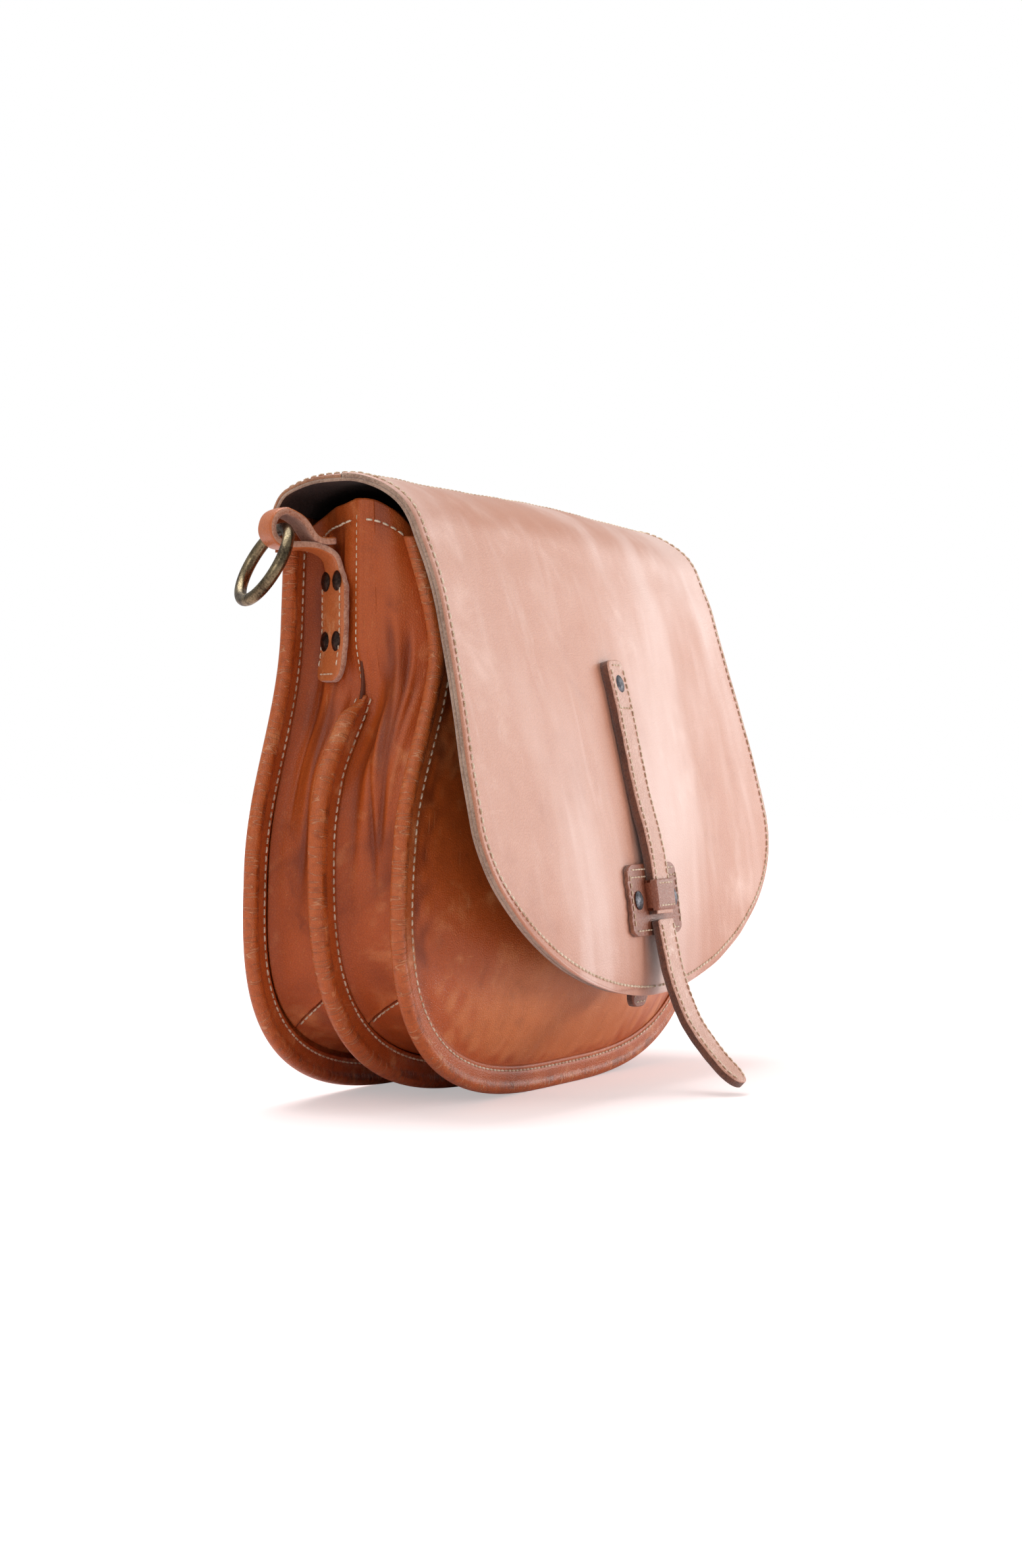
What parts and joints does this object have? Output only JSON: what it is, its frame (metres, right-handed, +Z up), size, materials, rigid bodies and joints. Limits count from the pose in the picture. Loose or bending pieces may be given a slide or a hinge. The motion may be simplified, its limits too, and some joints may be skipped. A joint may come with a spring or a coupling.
{
  "type": "saddle handbag",
  "caption": "Saddle-shaped leather handbag with accordion compartments, a long front flap, a strap-and-keeper closure and side ring anchors.",
  "frame": {"origin": "middle of the middle welt's flat foot on the floor", "axes": "+X to the right seen from the front, +Y to the back, +Z up; the bag stands on its welts"},
  "size_m": [0.3848, 0.1805, 0.2856],
  "materials": {
    "bag_leather": "satin",
    "welt_leather": "satin",
    "divider_leather": "satin",
    "flap_leather": "satin",
    "yoke_leather": "satin",
    "flap_suede": "matte",
    "strap_leather": "satin",
    "patch_leather": "satin",
    "anchor_leather": "satin",
    "pocket_textile": "matte",
    "rivet_metal": "satin",
    "anchor_rivet_metal": "satin",
    "ring_metal": "aged"
  },
  "bodies": {
    "bag": {"back_panel": "bag_leather", "divider_panel": "divider_leather", "front_panel": "bag_leather", "rear_gusset_left": "bag_leather", "rear_gusset_bottom": "bag_leather", "rear_gusset_right": "bag_leather", "front_gusset_left": "bag_leather", "front_gusset_bottom": "bag_leather", "front_gusset_right": "bag_leather", "rear_welt": "welt_leather", "middle_welt": "welt_leather", "front_welt": "welt_leather", "rear_mouth_facing": "bag_leather", "front_mouth_facing": "bag_leather", "rear_lining": "pocket_textile", "front_lining": "pocket_textile", "back_yoke": "bag_leather", "snap_tab": "patch_leather", "snap_socket": "rivet_metal", "anchor_left": "anchor_leather", "anchor_right": "anchor_leather", "anchor_rivets_left": "anchor_rivet_metal", "anchor_rivets_right": "anchor_rivet_metal"},
    "flap": {"flap_yoke": "yoke_leather", "flap_panel": "flap_leather", "flap_lining": "flap_suede", "closure_strap": "strap_leather", "strap_patch": "patch_leather", "strap_keeper": "patch_leather", "strap_rivet": "rivet_metal", "patch_rivets": "rivet_metal", "snap_post": "rivet_metal"},
    "tail": {"strap_tail": "strap_leather"},
    "ring_left": {"ring_left": "ring_metal"},
    "ring_right": {"ring_right": "ring_metal"}
  },
  "joints": [
    {"name": "flap_hinge", "type": "hinge", "parent": "bag", "child": "flap", "pos_m": [0, 0.03158, 0.264], "axis": [-1, 0, 0], "range_deg": [0, 120]},
    {"name": "tail_hinge", "type": "hinge", "parent": "flap", "child": "tail", "pos_m": [0, -0.09109, 0.0825], "axis": [-1, 0, 0], "range_deg": [0, 60]},
    {"name": "ring_left_swing", "type": "hinge", "parent": "bag", "child": "ring_left", "pos_m": [-0.16984, 0.02274, 0.2605], "axis": [0.6036, 0.7973, 0], "range_deg": [-30, 75]},
    {"name": "ring_right_swing", "type": "hinge", "parent": "bag", "child": "ring_right", "pos_m": [0.16984, 0.02274, 0.2605], "axis": [0.6036, -0.7973, 0], "range_deg": [-30, 75]}
  ]
}
